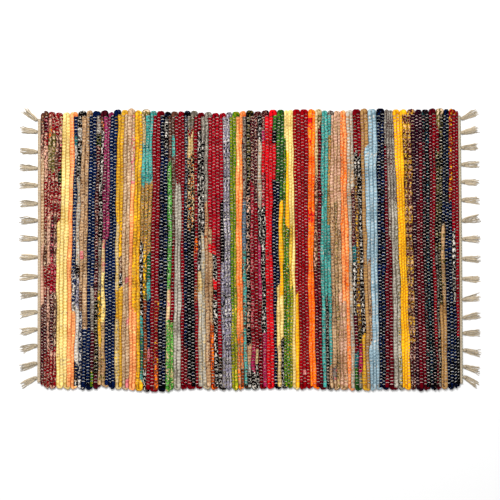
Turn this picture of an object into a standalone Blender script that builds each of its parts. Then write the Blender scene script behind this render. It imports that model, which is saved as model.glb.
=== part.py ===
"""A flat-woven rag rug with knotted cotton tassels, lying flat on the floor.

X runs along the rug, from the left tassels to the right ones, Y across it along
the rag strips, and Z up. The rug stands on Z = 0 with its middle at the origin.
All sizes in the tables are millimetres, and the meshes are metres.
"""

import math
import random

import bmesh
import bpy
import numpy as np

MM = 0.001

# Sizes of the weave
PICKS = 121
POINTS_A_RIB = 3
CREST_HEIGHT = 6.4
VALLEY_HEIGHT = 4.6
EDGE_HEIGHT = 3.2
CREST_UNEVENNESS = 0.35
FOOT_INSET = 1.0
SELVEDGE_ROLL = 4.0
KNOB_DEPTH = (1.0, 3.4)
PICKS_A_KNOB = 2
FAR_SELVEDGE = 296.0
NEAR_SELVEDGE = -295.0
INNER_ROWS = (150.0, 0.0, -150.0)

# Where the ribs lie, measured along X from the rug's middle. They fan a little:
# the number of picks beaten in so far, then the place of the last one's right
# side at the far selvedge, at half width and at the near selvedge.
RIB_PLACES = (
    # picks, far, middle, near
    (0, -448, -448, -449),
    (6, -399, -407, -408),
    (11, -359, -364, -369),
    (16, -318, -325, -326),
    (21, -283, -288, -289),
    (26, -244, -251, -252),
    (31, -206, -212, -214),
    (36, -167, -167, -172),
    (40, -140, -140, -141),
    (46, -97, -97, -93),
    (51, -58, -54, -49),
    (57, -15, -16, -12),
    (63, 34, 34, 38),
    (68, 74, 71, 76),
    (72, 93, 98, 99),
    (78, 141, 138, 144),
    (83, 174, 174, 180),
    (88, 206, 212, 219),
    (93, 245, 252, 260),
    (98, 289, 291, 292),
    (102, 307, 321, 329),
    (105, 328, 336, 347),
    (108, 355, 359, 365),
    (112, 384, 386, 396),
    (116, 415, 411, 418),
    (121, 447, 450, 452),
)

# The two long edges, without their knobs.
SELVEDGES = (
    # along, far edge, near edge
    (-452, 287, -288),
    (-440, 297, -294),
    (-416, 295, -297),
    (-345, 299, -297),
    (-308, 297, -293),
    (-275, 302, -298),
    (-213, 299, -303),
    (-150, 298, -300),
    (-95, 296, -297),
    (-60, 295, -299),
    (10, 298, -298),
    (120, 302, -297),
    (205, 298, -300),
    (230, 302, -300),
    (390, 302, -299),
    (432, 302, -296),
    (447, 299, -291),
    (456, 289, -284),
)

# Sizes of the cotton headings
HEADING_GAP = 0.3
HEADING_HEIGHT = 3.6
HEADING_GROOVE = 2.7
HEADING_EDGE_HEIGHT = 1.8
LEFT_HEADING = {"width": 6.2, "far": 283.0, "near": -284.0}
RIGHT_HEADING = {"width": 5.4, "far": 290.0, "near": -286.0}
HEADING_ROWS = 7
# Height of the heading's points across its width, from the rags outwards.
HEADING_PROFILE = (
    # share of the width, height
    (0.00, HEADING_EDGE_HEIGHT),
    (0.12, HEADING_HEIGHT),
    (0.45, HEADING_HEIGHT),
    (0.55, HEADING_GROOVE),
    (0.65, HEADING_HEIGHT),
    (0.90, HEADING_HEIGHT),
    (1.00, HEADING_EDGE_HEIGHT),
)

# Sizes of a tassel
STRANDS = 9
TASSEL_GAP = 0.3
NECK_LENGTH = 1.6
NECK_WIDTH = 3.0
NECK_HEIGHT = 3.0
KNOT_LENGTH = 5.6
KNOT_WIDTH = 6.4
KNOT_HEIGHT = 4.8
ROOT_WIDTH = 5.4
ROOT_HEIGHT = 3.2
STRAND_LENGTH = 30.0
STRAND_HEIGHT = 1.15
STRAND_TOP_SHARE = 0.62
TIP_WIDTH = 1.15
STRAY = 0.1
# Where along a strand its sections are, how wide it is there, and the share of
# the whole fan that the strands have opened by then.
STRAND_SECTIONS = (
    # share of the length, width, share of the fan
    (0.40, 0.85, 0.58),
    (1.00, TIP_WIDTH, 1.00),
)

# The tassels from the far end to the near end, on both sides.
TASSELS = (
    # left place, left tilt, left fan, right place, right tilt, right fan
    (279, 38, 14, 282, 25, 14),
    (254, 8, 15, 252, 12, 14),
    (211, 4, 14, 220, 4, 15),
    (176, 3, 15, 184, 0, 15),
    (139, 2, 14, 147, -3, 14),
    (100, 0, 15, 108, -3, 15),
    (64, 0, 16, 63, 11, 17),
    (25, 1, 14, 24, 0, 14),
    (-14, -2, 15, -18, -3, 15),
    (-56, -3, 14, -61, -3, 13),
    (-94, -5, 15, -106, 9, 16),
    (-132, -10, 14, -145, 10, 14),
    (-169, -12, 15, -178, 1, 15),
    (-204, -15, 14, -214, -14, 14),
    (-242, -18, 15, -249, -17, 14),
    (-273, -28, 14, -271, -33, 14),
)


def remove_everything():
    """Empty the file, so that the rug stands alone."""
    for thing in list(bpy.data.objects):
        bpy.data.objects.remove(thing, do_unlink=True)


def finish(name, colour, roughness):
    """A plain material with the piece's own colour."""
    material = bpy.data.materials.new(name)
    material.use_nodes = True
    shader = material.node_tree.nodes["Principled BSDF"]
    shader.inputs["Base Color"].default_value = (*colour, 1.0)
    shader.inputs["Roughness"].default_value = roughness
    shader.inputs["Metallic"].default_value = 0.0
    return material


def add_piece(name, points, faces, material, parent):
    """One closed solid from its points in millimetres and its faces."""
    mesh = bpy.data.meshes.new(name)
    mesh.from_pydata([tuple(float(v) * MM for v in point) for point in points], [], faces)
    work = bmesh.new()
    work.from_mesh(mesh)
    bmesh.ops.recalc_face_normals(work, faces=work.faces)
    work.to_mesh(mesh)
    work.free()
    mesh.materials.append(material)
    piece = bpy.data.objects.new(name, mesh)
    bpy.context.scene.collection.objects.link(piece)
    piece.parent = parent
    return piece


def rib_place(pick, across):
    """Where a pick's side lies along X, at a place across the rug.

    Between the rows of the table the picks share the room evenly, and across
    the rug the place follows two straight runs: far to middle, middle to near.
    """
    table = np.array(RIB_PLACES, dtype=float)
    far, middle, near = (np.interp(pick, table[:, 0], table[:, column]) for column in (1, 2, 3))
    return np.interp(across, (NEAR_SELVEDGE, 0.0, FAR_SELVEDGE), (near, middle, far))


def selvedge(along, side):
    """Where a long edge lies across the rug: side 1 is the far one, 2 the near one."""
    table = np.array(SELVEDGES, dtype=float)
    return np.interp(along, table[:, 0], table[:, side])


def closed_slab(grid):
    """Points and faces of a slab from a grid of top points.

    The grid's rim is the widest outline. Below it a second outline, drawn in a
    little, lies on the floor, and flat faces join the two long sides of it.
    """
    rows, columns = grid.shape[:2]
    foot = grid.copy()
    foot[..., 2] = 0.0
    foot[0, :, 1] -= FOOT_INSET
    foot[-1, :, 1] += FOOT_INSET
    foot[:, 0, 0] += FOOT_INSET
    foot[:, -1, 0] -= FOOT_INSET
    points = list(grid.reshape(-1, 3))
    faces = []
    for row in range(rows - 1):
        for column in range(columns - 1):
            corner = row * columns + column
            faces.append((corner, corner + columns, corner + columns + 1, corner + 1))
    rim = [(0, column) for column in range(columns)]
    rim += [(row, columns - 1) for row in range(1, rows)]
    rim += [(rows - 1, column) for column in range(columns - 2, -1, -1)]
    rim += [(row, 0) for row in range(rows - 2, 0, -1)]
    first = len(points)
    points += [foot[place] for place in rim]
    for step, (row, column) in enumerate(rim):
        after = (step + 1) % len(rim)
        next_row, next_column = rim[after]
        faces.append((row * columns + column, next_row * columns + next_column, first + after, first + step))
    far = [first + column for column in range(columns)]
    near = [first + columns - 1 + rows - 1 + column for column in range(columns)][::-1]
    left = [first + len(rim) - row for row in range(1, rows - 1)]
    right = [first + columns - 1 + row for row in range(1, rows - 1)]
    faces.append([far[0], far[1], near[1], near[0]] + left[::-1])
    for column in range(1, columns - 2):
        faces.append((far[column], far[column + 1], near[column + 1], near[column]))
    faces.append([far[-2], far[-1]] + right + [near[-1], near[-2]])
    return points, faces


def weave_grid(chance):
    """Top points of the rag weave: three points a rib along X, seven rows across.

    A rib is a valley point and two crest points. At each long edge the rags turn
    in knobs that take in two picks, and the knobs of one edge sit between those
    of the other, because one rag runs to and fro.
    """
    columns = PICKS * POINTS_A_RIB + 1
    rows = 4 + len(INNER_ROWS)
    grid = np.zeros((rows, columns, 3))
    heights = [CREST_HEIGHT - chance.random() * CREST_UNEVENNESS for _ in range(PICKS + 1)]
    knob_depths = {
        (side, knob): chance.uniform(*KNOB_DEPTH) for side in (0, 1) for knob in range(PICKS // PICKS_A_KNOB + 1)
    }
    for column in range(columns):
        pick = column / POINTS_A_RIB
        in_valley = column % POINTS_A_RIB == 0
        height = VALLEY_HEIGHT if in_valley else heights[int(pick)]
        if column in (0, columns - 1):
            height = EDGE_HEIGHT
        middle = float(rib_place(pick, 0.0))
        reach = []
        for side in (0, 1):
            turn = (pick + side) / PICKS_A_KNOB
            swell = abs(math.sin(math.pi * turn)) ** 0.6
            reach.append(knob_depths[(side, int(turn) % (PICKS // PICKS_A_KNOB + 1))] * swell)
        far = float(selvedge(middle, 1)) + reach[0]
        near = float(selvedge(middle, 2)) - reach[1]
        across = [far, far - SELVEDGE_ROLL, *INNER_ROWS, near + SELVEDGE_ROLL, near]
        for row, place in enumerate(across):
            edge = row in (0, rows - 1)
            grid[row, column] = (rib_place(pick, place), place, EDGE_HEIGHT if edge else height)
    return grid


def heading_grid(end_pick, outward, sizes):
    """Top points of a heading: its ribbed profile, carried along the weave's end."""
    grid = np.zeros((HEADING_ROWS, len(HEADING_PROFILE), 3))
    for row, place in enumerate(np.linspace(sizes["far"], sizes["near"], HEADING_ROWS)):
        inner = float(rib_place(end_pick, place)) + outward * HEADING_GAP
        for column, (share, height) in enumerate(HEADING_PROFILE):
            at_end = row in (0, HEADING_ROWS - 1)
            lift = min(height, HEADING_EDGE_HEIGHT) if at_end else height
            grid[row, column] = (inner + outward * share * sizes["width"], place, lift)
    return grid if outward > 0 else grid[:, ::-1]


def six_sided(width, height):
    """A section of the knot: flat on the floor, with sloping shoulders."""
    half = width / 2
    shoulder = height * 0.55
    return [(-half, 0), (half, 0), (half, shoulder), (half / 2, height), (-half / 2, height), (-half, shoulder)]


def tassel_solid(root, outward, tilt, fan, chance):
    """Points and faces of a tassel: a neck, a knot and nine strands fanned on the floor.

    The strands grow out of a row of faces at the foot of the knot's outer end, so
    that they share their roots with it and stand apart from there on.
    """
    ahead = np.array((outward * math.cos(math.radians(tilt)), math.sin(math.radians(tilt)), 0.0))
    aside = np.array((-ahead[1], ahead[0], 0.0))
    straight = np.array((float(outward), 0.0, 0.0))
    straight_aside = np.array((0.0, float(outward), 0.0))
    up = np.array((0.0, 0.0, 1.0))
    root = np.array(root, dtype=float)
    bend = root + straight * NECK_LENGTH
    points = []
    faces = []

    def ring(centre, sideways, section):
        start = len(points)
        points.extend(centre + sideways * across + up * height for across, height in section)
        return list(range(start, start + len(section)))

    neck = ring(root, straight_aside, six_sided(NECK_WIDTH, NECK_HEIGHT))
    throat = ring(bend, (aside + straight_aside) / 2, six_sided(NECK_WIDTH * 1.3, NECK_HEIGHT * 1.2))
    belly = ring(bend + ahead * KNOT_LENGTH / 2, aside, six_sided(KNOT_WIDTH, KNOT_HEIGHT))
    faces.append(tuple(neck))
    for one, two in ((neck, throat), (throat, belly)):
        for side in range(6):
            after = (side + 1) % 6
            faces.append((one[side], one[after], two[after], two[side]))

    mouth = bend + ahead * KNOT_LENGTH
    splits = np.linspace(-ROOT_WIDTH / 2, ROOT_WIDTH / 2, STRANDS + 1)
    low = ring(mouth, aside, [(split, 0.0) for split in splits])
    high = ring(mouth, aside, [(split, STRAND_HEIGHT) for split in splits])
    crown = ring(mouth, aside, [(ROOT_WIDTH / 4, ROOT_HEIGHT), (-ROOT_WIDTH / 4, ROOT_HEIGHT)])
    faces.append((belly[1], belly[2], high[-1], low[-1]))
    faces.append((belly[2], belly[3], crown[0], high[-1]))
    faces.append((belly[3], belly[4], crown[1], crown[0]))
    faces.append((belly[4], belly[5], high[0], crown[1]))
    faces.append((belly[5], belly[0], low[0], high[0]))
    faces.append((belly[0], belly[1], *reversed(low)))
    faces.append((*high, crown[0], crown[1]))

    for strand in range(STRANDS):
        lean = (strand - (STRANDS - 1) / 2) / ((STRANDS - 1) / 2)
        length = STRAND_LENGTH * chance.uniform(0.92, 1.04)
        stray = chance.uniform(-STRAY, STRAY)
        last = [low[strand], low[strand + 1], high[strand + 1], high[strand]]
        for share, width, opened in STRAND_SECTIONS:
            root_lean = lean * (ROOT_WIDTH / 2) * (1 - 1 / STRANDS)
            tip_lean = lean * (fan - TIP_WIDTH) / 2 + stray
            centre = mouth + ahead * length * share + aside * (root_lean + (tip_lean - root_lean) * opened)
            half = width / 2
            top = half * STRAND_TOP_SHARE
            section = [(-half, 0.0), (half, 0.0), (top, STRAND_HEIGHT), (-top, STRAND_HEIGHT)]
            now = ring(centre, aside, section)
            for side in range(4):
                after = (side + 1) % 4
                faces.append((last[side], last[after], now[after], now[side]))
            last = now
        faces.append(tuple(last))
    return points, faces


def build():
    remove_everything()
    chance = random.Random(11)
    rug = bpy.data.objects.new("rug", None)
    bpy.context.scene.collection.objects.link(rug)
    rags = finish("rag_cloth", (0.30, 0.10, 0.09), 0.92)
    cotton = finish("cotton_picks", (0.62, 0.49, 0.34), 0.94)
    thread = finish("cotton_thread", (0.64, 0.52, 0.37), 0.95)

    pieces = [add_piece("rag_weave", *closed_slab(weave_grid(chance)), rags, rug)]
    ends = (
        ("left", 0, -1, LEFT_HEADING, (0, 1, 2)),
        ("right", PICKS, 1, RIGHT_HEADING, (3, 4, 5)),
    )
    for end, end_pick, outward, sizes, columns in ends:
        grid = heading_grid(end_pick, outward, sizes)
        pieces.append(add_piece(f"heading_{end}", *closed_slab(grid), cotton, rug))
        for number, row in enumerate(TASSELS, start=1):
            place, tilt, fan = (row[column] for column in columns)
            inner = float(rib_place(end_pick, place)) + outward * (HEADING_GAP + sizes["width"])
            root = (inner + outward * TASSEL_GAP, place, 0.0)
            solid = tassel_solid(root, outward, tilt, fan, chance)
            pieces.append(add_piece(f"tassel_{end}_{number:02d}", *solid, thread, rug))

    corners = np.array([vertex.co for piece in pieces for vertex in piece.data.vertices])
    centre = (corners.min(axis=0) + corners.max(axis=0)) / 2
    rug.location = (-centre[0], -centre[1], 0.0)


build()
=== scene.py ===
# %% [markdown]
# # A rag rug from the loom
#
# The rug is one flat cloth. Torn strips of old clothes and sheets go across it
# as the weft, and thin cotton threads, the warp, hold them down. At both ends a
# narrow band of plain cotton locks the rags, and the warp is knotted into
# tassels. This notebook weaves it pick by pick. It begins with the frame that
# the solids were packed in, because every thread has to lie where they are.

import bpy
import numpy as np
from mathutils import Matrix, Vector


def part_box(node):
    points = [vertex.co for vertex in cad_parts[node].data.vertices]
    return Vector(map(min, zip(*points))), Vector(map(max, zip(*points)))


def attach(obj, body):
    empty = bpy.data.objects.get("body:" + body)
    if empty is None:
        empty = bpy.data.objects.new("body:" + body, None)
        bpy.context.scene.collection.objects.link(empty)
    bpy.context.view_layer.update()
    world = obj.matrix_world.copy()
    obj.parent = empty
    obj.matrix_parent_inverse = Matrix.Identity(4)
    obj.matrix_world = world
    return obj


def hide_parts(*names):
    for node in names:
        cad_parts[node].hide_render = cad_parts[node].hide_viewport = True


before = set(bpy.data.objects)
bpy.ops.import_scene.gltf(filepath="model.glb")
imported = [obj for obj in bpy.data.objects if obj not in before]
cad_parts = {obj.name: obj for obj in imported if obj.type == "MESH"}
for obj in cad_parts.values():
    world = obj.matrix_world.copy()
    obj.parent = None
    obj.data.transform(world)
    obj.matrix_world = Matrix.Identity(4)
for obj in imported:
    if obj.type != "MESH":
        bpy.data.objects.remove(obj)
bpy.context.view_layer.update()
chance = np.random.default_rng(7)
MM = 0.001

# %% [markdown]
# ## The camera, the floor and the light
#
# The rug was photographed from straight above on a white ground, and it fills
# the picture from side to side. A long lens high above keeps its sides straight.
# The light is a wide pale sky with one large soft lamp beyond the far edge, so
# that each rib has a bright side and a darker one.

# %% Set up the studio
PICTURE_WIDTH = 1.0735
CAMERA_HEIGHT = 4.0
SENSOR_WIDTH = 36.0
FLOOR_CORNERS = [(-6, -6, 0), (6, -6, 0), (6, 6, 0), (-6, 6, 0)]
FLOOR_COLOUR = (0.73, 0.73, 0.73, 1.0)
FLOOR_ROUGHNESS = 0.9
SKY_COLOUR = (1.0, 1.0, 1.0, 1.0)
SKY_STRENGTH = 0.76
LAMP_PLACE = (-0.5, 1.9, 2.3)
LAMP_TILT = (-39.0, 0.0, 8.0)
LAMP_SIZE = 1.6
LAMP_POWER = 112.0


def show(name, data):
    """A new object in the scene that holds the data."""
    thing = bpy.data.objects.new(name, data)
    bpy.context.scene.collection.objects.link(thing)
    return thing


camera = show("camera", bpy.data.cameras.new("camera"))
camera.location = (0.0, 0.0, CAMERA_HEIGHT)
camera.data.sensor_width = SENSOR_WIDTH
camera.data.lens = SENSOR_WIDTH * CAMERA_HEIGHT / PICTURE_WIDTH
bpy.context.scene.camera = camera

paper = bpy.data.materials.new("floor_paper")
paper.use_nodes = True
paper_surface = paper.node_tree.nodes["Principled BSDF"].inputs
paper_surface["Base Color"].default_value = FLOOR_COLOUR
paper_surface["Roughness"].default_value = FLOOR_ROUGHNESS
floor_mesh = bpy.data.meshes.new("floor")
floor_mesh.from_pydata(FLOOR_CORNERS, [], [(0, 1, 2, 3)])
floor_mesh.materials.append(paper)
floor = show("floor", floor_mesh)

sky = bpy.data.worlds.new("studio")
sky.use_nodes = True
sky.node_tree.nodes["Background"].inputs["Color"].default_value = SKY_COLOUR
sky.node_tree.nodes["Background"].inputs["Strength"].default_value = SKY_STRENGTH
bpy.context.scene.world = sky
lamp = show("soft_lamp", bpy.data.lights.new("soft_lamp", "AREA"))
lamp.data.shape = "DISK"
lamp.data.size = LAMP_SIZE
lamp.data.energy = LAMP_POWER
lamp.location = LAMP_PLACE
lamp.rotation_euler = np.radians(LAMP_TILT)
bpy.context.scene.view_settings.view_transform = "Standard"
print("camera", CAMERA_HEIGHT, "m up, picture", PICTURE_WIDTH, "m wide")

# %% [markdown]
# ## Where the ribs lie
#
# A weaver beats the picks in by hand, so the ribs fan and lean a little. A short
# table gives the place of some of them at the far edge, at half width and at the
# near edge, and the picks between share the room evenly. Each side of a rib also
# wavers by about a millimetre, and the next rib fills the room it leaves.

# %% Measure out the loom
RAG_PICKS = 121
WARPS = 165
FAR_EDGE = 0.296
NEAR_EDGE = -0.295
EDGE_OVERRUN = 1.1
WAVER = 0.85 * MM
WAVER_STEPS = 60
WAVER_REACH = 4
LEFT_END = -449 * MM
NEAR_KNOBS_EXTRA = 0.4 * MM


def numbers(table):
    """A text table as rows of numbers."""
    return np.array([line.split() for line in table.strip().splitlines()], dtype=float)


# picks, then the far edge, the middle and the near edge, in millimetres from the middle
RIB_PLACES = numbers("""
0 -448 -448 -449
6 -399 -407 -408
11 -359 -364 -369
16 -318 -325 -326
21 -283 -288 -289
26 -244 -251 -252
31 -206 -212 -214
36 -167 -167 -172
40 -140 -140 -141
46 -97 -97 -93
51 -58 -54 -49
57 -15 -16 -12
63 34 34 38
68 74 71 76
72 93 98 99
78 141 138 144
83 174 174 180
88 206 212 219
93 245 252 260
98 289 291 292
102 307 321 329
105 328 336 347
108 355 359 365
112 384 386 396
116 415 411 418
121 447 450 452
""")

# along, then the far edge and the near edge without the knobs, in millimetres
SELVEDGES = numbers("""
-452 287 -288
-440 297 -294
-416 295 -297
-345 299 -297
-308 297 -293
-275 302 -298
-213 299 -303
-150 298 -300
-95 296 -297
-60 295 -299
10 298 -298
120 302 -297
205 298 -300
230 302 -300
390 302 -299
432 302 -296
447 299 -291
456 289 -284
""")

weave_low, weave_high = (np.array(corner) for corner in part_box("rag_weave"))
weave_middle = (weave_low[1] + weave_high[1]) / 2
SHIFT = np.array((weave_low[0] - LEFT_END, weave_middle + NEAR_KNOBS_EXTRA, 0.0))


def smooth_chance(rows, columns, reach):
    """Rows of smooth random numbers.

    Random numbers are averaged with their neighbours under a hill that reaches
    so many columns to each side, then scaled so that they spread by about 1.
    """
    raw = chance.normal(size=(rows, columns + 2 * reach))
    hill = np.hanning(2 * reach + 1)
    hill /= np.sqrt((hill**2).sum())
    smooth = np.array([np.convolve(row, hill, "same") for row in raw])
    return smooth[:, reach : reach + columns]


waver_chart = smooth_chance(RAG_PICKS + 1, WAVER_STEPS, WAVER_REACH) * WAVER
waver_chart[[0, -1]] = 0.0


def rag_side(pick, across):
    """Where a rib's right side lies along X.

    The table gives its place at the far edge, the middle and the near edge for
    any pick number, two straight lines join them across the rug, and the smooth
    waver of that rib is added.
    """
    far, middle, near = (np.interp(pick, RIB_PLACES[:, 0], RIB_PLACES[:, c]) * MM for c in (1, 2, 3))
    outer = np.where(across > 0, far, near)
    share = np.where(across > 0, across / FAR_EDGE, across / NEAR_EDGE)
    share = np.clip(share, 0, EDGE_OVERRUN)
    step = np.clip((across - NEAR_EDGE) / (FAR_EDGE - NEAR_EDGE), 0, 1) * (WAVER_STEPS - 1)
    step = np.round(step).astype(int)
    whole = np.clip(np.floor(pick).astype(int), 0, RAG_PICKS - 1)
    left = waver_chart[whole, step]
    right = waver_chart[whole + 1, step]
    waver = left + (right - left) * (pick - whole)
    return middle + (outer - middle) * share + waver


def long_edges(along):
    """The far and the near edge of the weave at a place along X, from the table."""
    return tuple(np.interp(along / MM, SELVEDGES[:, 0], SELVEDGES[:, c]) * MM for c in (1, 2))


middle_rib = np.diff(rag_side(np.array([59.0, 60.0]), np.zeros(2)))[0]
print(RAG_PICKS, "rag picks; the middle rib is", round(middle_rib / MM, 1), "mm wide")

# %% [markdown]
# ## A tube for every strip and thread
#
# Rags, threads and tassel strands are all long soft tubes, so one helper makes
# them all at once as whole arrays: a ring of points is set round each point of
# each path. The helper also writes down, for every face corner, how far along
# its strip it is, so that dyes and prints follow the cloth.

# %% Write the tube helpers
THREAD_GIRTH = 5.0 * MM


def ring_angles(around):
    """The angles of the points of a ring, beginning underneath."""
    return np.arange(around) * 2 * np.pi / around - np.pi / 2


def rings_round(path, half_width, half_height, around, squareness=1.0):
    """Rings of points round many paths at once.

    A ring point is the path's point, plus the sideways direction times half the
    width times the cosine, plus the upward one times half the height times the
    sine. The cosine and sine are raised to the squareness, which fills the
    corners below 1.
    """
    forward = np.gradient(path, axis=1)
    forward /= np.linalg.norm(forward, axis=-1, keepdims=True)
    side = np.cross(np.array((0.0, 0.0, 1.0)), forward)
    side /= np.maximum(np.linalg.norm(side, axis=-1, keepdims=True), 1e-9)
    upward = np.cross(forward, side)
    waves = (np.cos(ring_angles(around)), np.sin(ring_angles(around)))
    cosine, sine = (np.sign(wave) * np.abs(wave) ** squareness for wave in waves)
    half_width, half_height = (
        np.broadcast_to(half, path.shape[:2])[..., None] for half in (half_width, half_height)
    )
    wide = side[:, :, None, :] * (half_width * cosine)[..., None]
    high = upward[:, :, None, :] * (half_height * sine)[..., None]
    return path[:, :, None, :] + wide + high


def fill(entries, key, values, kind=np.float32):
    """Write a whole array into a mesh at once."""
    entries.foreach_set(key, values.reshape(-1).astype(kind))


def tube_piece(name, rings, finish, colours, shade, girth):
    """A mesh of many tubes with flat capped ends, out of rings of points.

    Wall faces join each ring to the next, and each end is closed by a few
    four-sided faces from side to side. The colours are held for each face, the
    shade for each point, and the place along the strip, round it and the strip's
    number for each corner. The bake map lays the strips out one below another.
    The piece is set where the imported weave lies.
    """
    paths, samples, around = rings.shape[:3]
    index = np.arange(paths * samples * around).reshape(paths, samples, around)
    strip, ring, turn = np.meshgrid(
        np.arange(paths), np.arange(samples - 1), np.arange(around), indexing="ij"
    )
    wall_rings = np.stack((ring, ring, ring + 1, ring + 1), -1)
    wall_turns = np.stack((turn, turn + 1, turn + 1, turn), -1)
    walls = index[strip[..., None], wall_rings, wall_turns % around]
    low = np.arange(around // 2 - 1)
    cap = np.stack((low, low + 1, around - 2 - low, around - 1 - low), -1)
    first = index[:, 0][:, cap[:, ::-1]]
    last = index[:, -1][:, cap]
    faces = np.concatenate([part.reshape(-1, 4) for part in (walls, first, last)])
    corner_strip = faces // (samples * around)
    corner_ring = faces // around % samples
    corner_turn = faces % around
    corner_turn[: turn.size] = wall_turns.reshape(-1, 4)

    mesh = bpy.data.meshes.new(name)
    mesh.vertices.add(rings.size // 3)
    fill(mesh.vertices, "co", rings + SHIFT)
    mesh.loops.add(faces.size)
    fill(mesh.loops, "vertex_index", faces, np.int32)
    mesh.polygons.add(len(faces))
    fill(mesh.polygons, "loop_start", np.arange(len(faces)) * 4, np.int32)
    fill(mesh.polygons, "use_smooth", np.ones(len(faces)), bool)
    mesh.update(calc_edges=True)

    steps = np.linalg.norm(np.diff(rings.mean(axis=2), axis=1), axis=-1)
    along = np.concatenate((np.zeros((paths, 1)), np.cumsum(steps, axis=1)), axis=1)
    along = along[corner_strip, corner_ring]
    across = corner_turn / around
    place = np.stack((along, across * girth, corner_strip), -1)
    fill(mesh.attributes.new("place", "FLOAT_VECTOR", "CORNER").data, "vector", place)
    face = (corner_strip[:, 0], corner_ring.min(axis=1), corner_turn[:, 0] % around)
    for layer, colour in colours.items():
        whole = np.broadcast_to(colour, (paths, samples, around, 4))
        spread = np.repeat(whole[face][:, None, :], 4, axis=1)
        fill(mesh.attributes.new(layer, "FLOAT_COLOR", "CORNER").data, "color", spread)
    shade = np.broadcast_to(shade, (paths, samples, around))
    fill(mesh.attributes.new("shade", "FLOAT", "POINT").data, "value", shade)
    column = 0.002 + 0.996 * along / along.max()
    row = (corner_strip + 0.05 + 0.9 * across) / paths
    fill(mesh.uv_layers.new(name="OFBake").data, "uv", np.stack((column, row), -1))
    mesh.materials.append(finish)
    mesh.validate()
    print(name, paths, "tubes,", len(faces) * 2, "triangles")
    return show(name, mesh)


def thread_piece(name, rings, finish, colour, shade):
    """A piece of cotton threads, with one opaque colour for each ring."""
    whole = np.broadcast_to(np.clip(colour, 0, 1), (*rings.shape[:2], 3))
    opaque = np.concatenate((whole, np.ones((*rings.shape[:2], 1))), axis=-1)
    return tube_piece(name, rings, finish, {"dye": opaque[:, :, None, :]}, shade, THREAD_GIRTH)


# %% [markdown]
# ## The dyes and the cloths
#
# The rags come from many clothes: plain dyed cottons, small prints, flecked
# knits. Each cloth here has a ground colour, a motif colour and an accent
# colour. Dyes are written as they look on a screen, in parts of 255, and turned
# into light with the usual curve.

# %% Name the cloths
def dye(red, green, blue):
    """A screen colour as light: each part is raised along the screen's own curve."""
    part = np.array((red, green, blue)) / 255
    return np.where(part <= 0.04045, part / 12.92, ((part + 0.055) / 1.055) ** 2.4)


# dye, red, green, blue
DYE_TABLE = """
black 5 4 5
navy 4 22 64
maroon 74 10 22
crimson 126 3 16
wine 94 2 14
ruby 144 4 12
cherry 160 8 26
red 206 12 24
pink 214 120 124
orchid 150 46 90
magenta 158 30 76
plum 40 8 26
purple 86 62 104
lilac 150 142 162
sky 162 186 196
slate 92 106 124
teal 34 86 90
turquoise 74 164 154
leaf 70 122 16
spring 92 166 64
pine 30 76 30
lime 142 146 20
olive 104 92 36
straw 230 194 70
butter 241 214 140
gold 250 190 28
mustard 208 162 50
apricot 244 166 104
orange 255 124 18
rust 140 60 24
brown 92 54 40
tan 186 150 110
camel 174 134 80
beige 208 180 148
blush 214 172 148
cream 208 184 138
white 214 206 196
grey 128 119 108
stone 182 174 160
"""

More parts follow.
